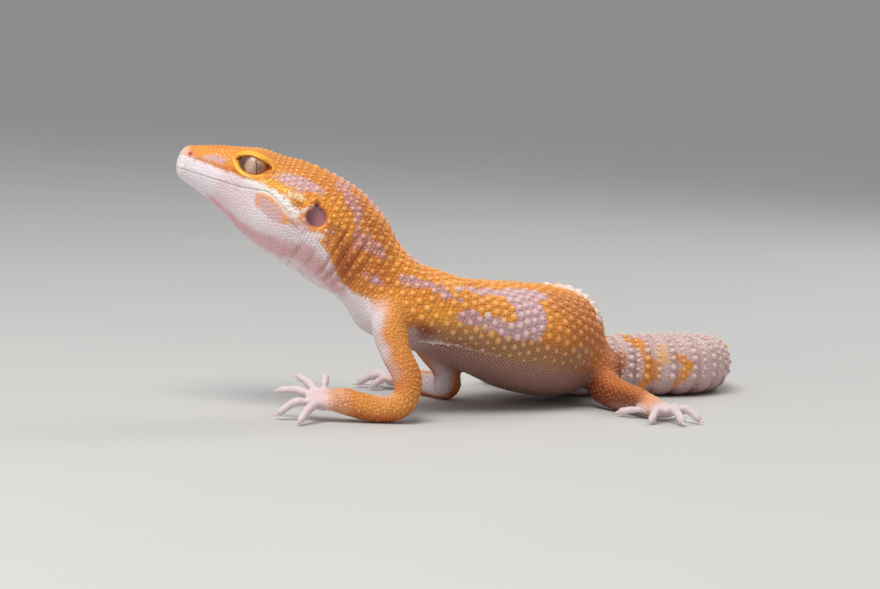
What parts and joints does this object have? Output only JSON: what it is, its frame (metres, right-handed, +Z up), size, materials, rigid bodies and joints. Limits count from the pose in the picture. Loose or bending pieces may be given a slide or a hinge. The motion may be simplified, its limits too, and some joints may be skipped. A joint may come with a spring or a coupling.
{
  "type": "leopard gecko",
  "caption": "Life-size leopard gecko on the floor with its head raised, golden and lilac tubercled skin, pale spread toes and a fat ringed tail curled to one side.",
  "frame": {"origin": "centre of the animal's bounding box on the floor it rests on", "axes": "the head points to -X, the animal's left side is towards -Y, +Z is up; the trunk and tail lie back towards +X and +Y"},
  "size_m": [0.1104, 0.1064, 0.0483],
  "materials": {
    "skin": "dry tubercled reptile skin, golden orange with lilac patches and pale tubercles, soft satin",
    "pale_skin": "fine-grained pinkish white skin, soft satin",
    "eye": "moist clear cornea over a mottled pinkish brown iris with an upright slit pupil",
    "eardrum": "thin smooth mauve membrane with a slight sheen",
    "claw": "translucent horn, cream, satin"
  },
  "bodies": {
    "root": {"eardrum_left": "eardrum", "eardrum_right": "eardrum", "eye_left": "eye", "eye_right": "eye", "foot_left": "pale_skin", "foot_left_claw_1": "claw", "foot_left_claw_2": "claw", "foot_left_claw_3": "claw", "foot_left_claw_4": "claw", "foot_left_claw_5": "claw", "foot_right": "pale_skin", "foot_right_claw_1": "claw", "foot_right_claw_2": "claw", "foot_right_claw_3": "claw", "foot_right_claw_4": "claw", "foot_right_claw_5": "claw", "forearm_left": "skin", "forearm_right": "skin", "hand_left": "pale_skin", "hand_left_claw_1": "claw", "hand_left_claw_2": "claw", "hand_left_claw_3": "claw", "hand_left_claw_4": "claw", "hand_left_claw_5": "claw", "hand_right": "pale_skin", "hand_right_claw_1": "claw", "hand_right_claw_2": "claw", "hand_right_claw_3": "claw", "hand_right_claw_4": "claw", "hand_right_claw_5": "claw", "head": "skin", "lower_jaw": "pale_skin", "neck": "skin", "shank_left": "skin", "shank_right": "skin", "tail_base": "skin", "tail_middle": "skin", "tail_rear": "skin", "tail_tip": "skin", "thigh_left": "skin", "thigh_right": "skin", "trunk_belly": "skin", "trunk_hips": "skin", "trunk_shoulders": "skin", "upper_arm_left": "skin", "upper_arm_right": "skin"}
  },
  "joints": []
}
